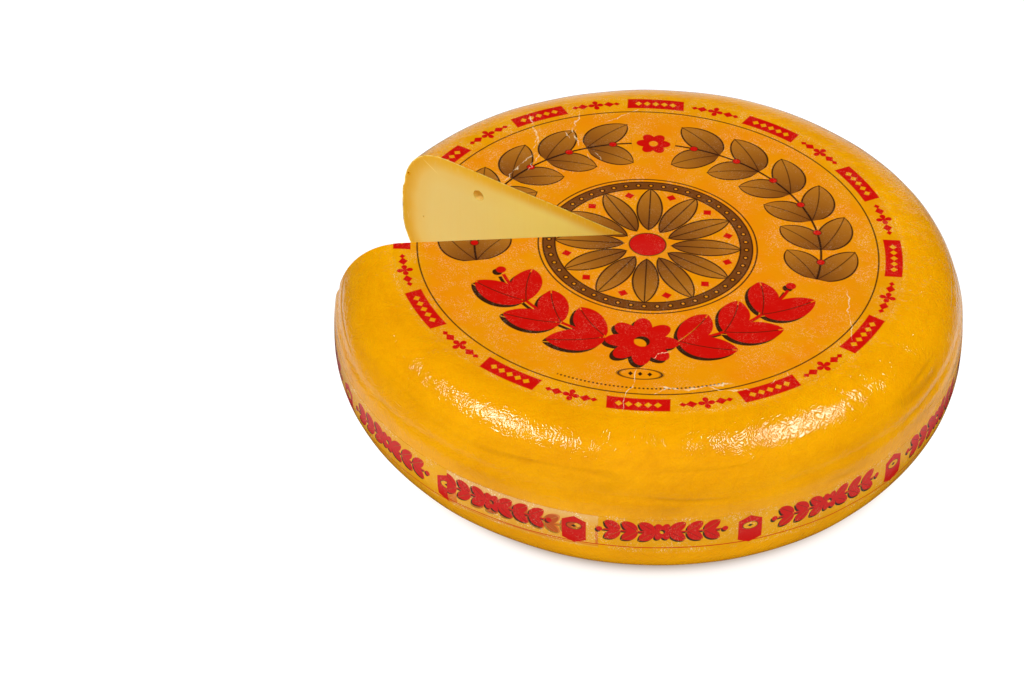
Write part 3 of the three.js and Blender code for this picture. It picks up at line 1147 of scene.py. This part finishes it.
class GOUDA_OT_strip(bpy.types.Operator):
    """Model the printed strip round the side, with its overlapped end"""

    bl_idname = "gouda.strip"
    bl_label = "Side Strip"

    def execute(self, context):
        settings = context.scene.gouda_cheese
        strip = new_piece(
            "strip", bpy.ops.mesh.primitive_cylinder_add,
            vertices=WHEEL_SEGMENTS, radius=1, depth=1, end_fill_type="NOTHING",
        )
        subdivide(strip, "EDGE", lambda ends: abs(ends[0].z - ends[1].z) > 0.5, STRIP_ROWS - 1)
        reshape(strip, lambda spot: strip_point(
            math.atan2(spot.y, spot.x), spot.z + 0.5, settings, PAPER_LIFT
        ))
        thicken(strip)
        cut_out(strip, bpy.data.objects["notch_cutter"])

        # The second layer, where the strip's last end lies over its first
        overlap = new_piece(
            "overlap", bpy.ops.mesh.primitive_grid_add,
            x_subdivisions=OVERLAP_COLUMNS, y_subdivisions=STRIP_ROWS, size=1,
        )
        span = OVERLAP_END - OVERLAP_START
        reshape(overlap, lambda spot: strip_point(
            OVERLAP_START + (spot.x + 0.5) * span, spot.y + 0.5, settings, OVERLAP_LIFT
        ))
        thicken(overlap)
        join_pieces([strip, overlap])
        wear(strip, strip_material(settings, context.scene.gouda_print))
        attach(strip, "root")
        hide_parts("side_strip")
        return {"FINISHED"}


def studio(settings):
    """Soft light that is strongest from the viewer's side. Gloss shows little of it."""
    world = bpy.data.worlds.new("studio")
    world.use_nodes = True
    graph = Graph(world.node_tree)
    background = world.node_tree.nodes["Background"].inputs
    background["Color"].default_value = (1, 1, 1, 1)
    x, y, z = graph.split(graph.value("Generated", "ShaderNodeTexCoord"))
    fill = graph.rise(z * 0.52 - y * 0.85 - x * 0.08, 0.1, 0.95) * settings.front_fill
    in_gloss = graph.value("Is Glossy Ray", "ShaderNodeLightPath")
    backdrop = graph.rise(y, 0.1, 0.6) * graph.fall(z, 0.0, 0.42) * settings.backdrop
    backdrop = backdrop * graph.fall(abs(x), 0.26, 0.42)
    strength = (fill + settings.surroundings) * (1 - in_gloss * 0.96) + in_gloss * backdrop
    graph.feed(background["Strength"], strength)
    return world


def make_floor(settings):
    """The pale floor, lit evenly but for a narrow painted shade round the cheese's foot."""
    floor = new_piece(
        "floor", bpy.ops.mesh.primitive_plane_add, size=8, location=(0, 0, -0.2 * MM)
    )
    material, graph, shader, spot = start_material("floor", {
        "Roughness": 0.9, "Specular IOR Level": 0.0, "Emission Color": (1, 1, 1, 1),
    })
    seen = graph.value("Is Camera Ray", "ShaderNodeLightPath")
    in_gloss = graph.value("Is Glossy Ray", "ShaderNodeLightPath")
    x, y, _ = graph.split(spot)
    reach = graph.length(x, y)

    # Gloss shows the floor near the cheese alone, and most of it behind
    behind = graph.rise(y, 0.25, 0.45) * graph.fall(abs(x), 0.3, 0.5)
    near_floor = graph.highest(graph.fall(reach, 0.28, 0.36), behind)
    near_floor = near_floor * graph.rise(reach, 0.20, 0.25)
    near_floor = near_floor * (graph.rise(y, -0.35, 0.2) * 0.8 + 0.2)

    # The painted shade is a ring under the foot that stays out of the notch
    in_notch = graph.rise(-x, 0.11, 0.12) * graph.rise(y, -0.03, -0.01)
    painted_contact_shade = graph.fall(reach, 0.155, 0.176) * graph.rise(reach, 0.14, 0.15)
    painted_contact_shade = painted_contact_shade * (1 - in_notch)
    glow = seen * (1.6 - painted_contact_shade * painted_contact_shade * 1.5)
    glow = glow + in_gloss * near_floor * 1.3 + (1 - seen - in_gloss) * 1.7
    graph.feed(shader["Emission Strength"], glow * settings.floor_glow)
    graph.feed(shader["Base Color"], graph.mix(in_gloss * 0.9, settings.floor, (0, 0, 0)))
    floor.data.materials.append(material)


def soft_light(name, place, aim, size, power):
    light = bpy.data.lights.new(name, "AREA")
    light.shape = "RECTANGLE"
    light.size, light.size_y = size
    light.energy = power
    lamp = bpy.data.objects.new(name, light)
    bpy.context.collection.objects.link(lamp)
    lamp.location = place
    lamp.rotation_euler = (Vector(aim) - Vector(place)).to_track_quat("-Z", "Y").to_euler()


# The photograph's camera, found from the round label and the wheel's outline
CAMERA_PLACE = (24.72 * MM, -1342.74 * MM, 1150.37 * MM)
CAMERA_TURN = (50.2775, 0.6771, 4.1291)
CAMERA_LENS = 100.173

# The soft lights: where each stands, what it is turned to, and its size
LEFT_LIGHT = ((-1.0, -0.44, 1.84), (-0.08, -0.15, 0.10), (0.85, 0.44))
RIGHT_LIGHT = ((0.80, 0.04, 1.60), (0.08, -0.15, 0.10), (0.85, 0.34))


class GOUDA_OT_stage(bpy.types.Operator):
    """Set up the camera, the pale floor and the soft light"""

    bl_idname = "gouda.stage"
    bl_label = "Stage"

    def execute(self, context):
        settings = context.scene.gouda_stage
        camera = bpy.data.objects.new("camera", bpy.data.cameras.new("camera"))
        context.collection.objects.link(camera)
        camera.location = CAMERA_PLACE
        camera.rotation_euler = [math.radians(turn) for turn in CAMERA_TURN]
        camera.data.lens = CAMERA_LENS
        camera.data.sensor_width = 36
        bpy.context.scene.camera = camera
        make_floor(settings)
        soft_light("left_light", *LEFT_LIGHT, settings.left_power)
        soft_light("right_light", *RIGHT_LIGHT, settings.right_power)
        context.scene.world = studio(settings)
        context.scene.view_settings.view_transform = "Standard"
        return {"FINISHED"}


OPERATORS = (GOUDA_OT_cheese, GOUDA_OT_label, GOUDA_OT_strip, GOUDA_OT_stage)
SETTINGS = {"gouda_cheese": CheeseSettings, "gouda_print": PrintSettings, "gouda_stage": StageSettings}


class GOUDA_PT_panel(bpy.types.Panel):
    bl_idname = "GOUDA_PT_panel"
    bl_label = "Gouda Wheel"
    bl_space_type = "VIEW_3D"
    bl_region_type = "UI"
    bl_category = "Gouda"

    def draw(self, context):
        for operator in OPERATORS:
            self.layout.operator(operator.bl_idname)
        for settings in SETTINGS:
            group = getattr(context.scene, settings)
            for name in group.bl_rna.properties.keys():
                if name not in ("rna_type", "name"):
                    self.layout.prop(group, name)


CLASSES = (*SETTINGS.values(), *OPERATORS, GOUDA_PT_panel)


def register():
    for cls in CLASSES:
        bpy.utils.register_class(cls)
    for name, group in SETTINGS.items():
        setattr(bpy.types.Scene, name, PointerProperty(type=group))


def unregister():
    for name in SETTINGS:
        delattr(bpy.types.Scene, name)
    for cls in reversed(CLASSES):
        bpy.utils.unregister_class(cls)


def main():
    register()
    bpy.ops.gouda.cheese()
    bpy.ops.gouda.label()
    bpy.ops.gouda.strip()
    bpy.ops.gouda.stage()
    delete_piece(bpy.data.objects["notch_cutter"])


if __name__ == "__main__":
    main()
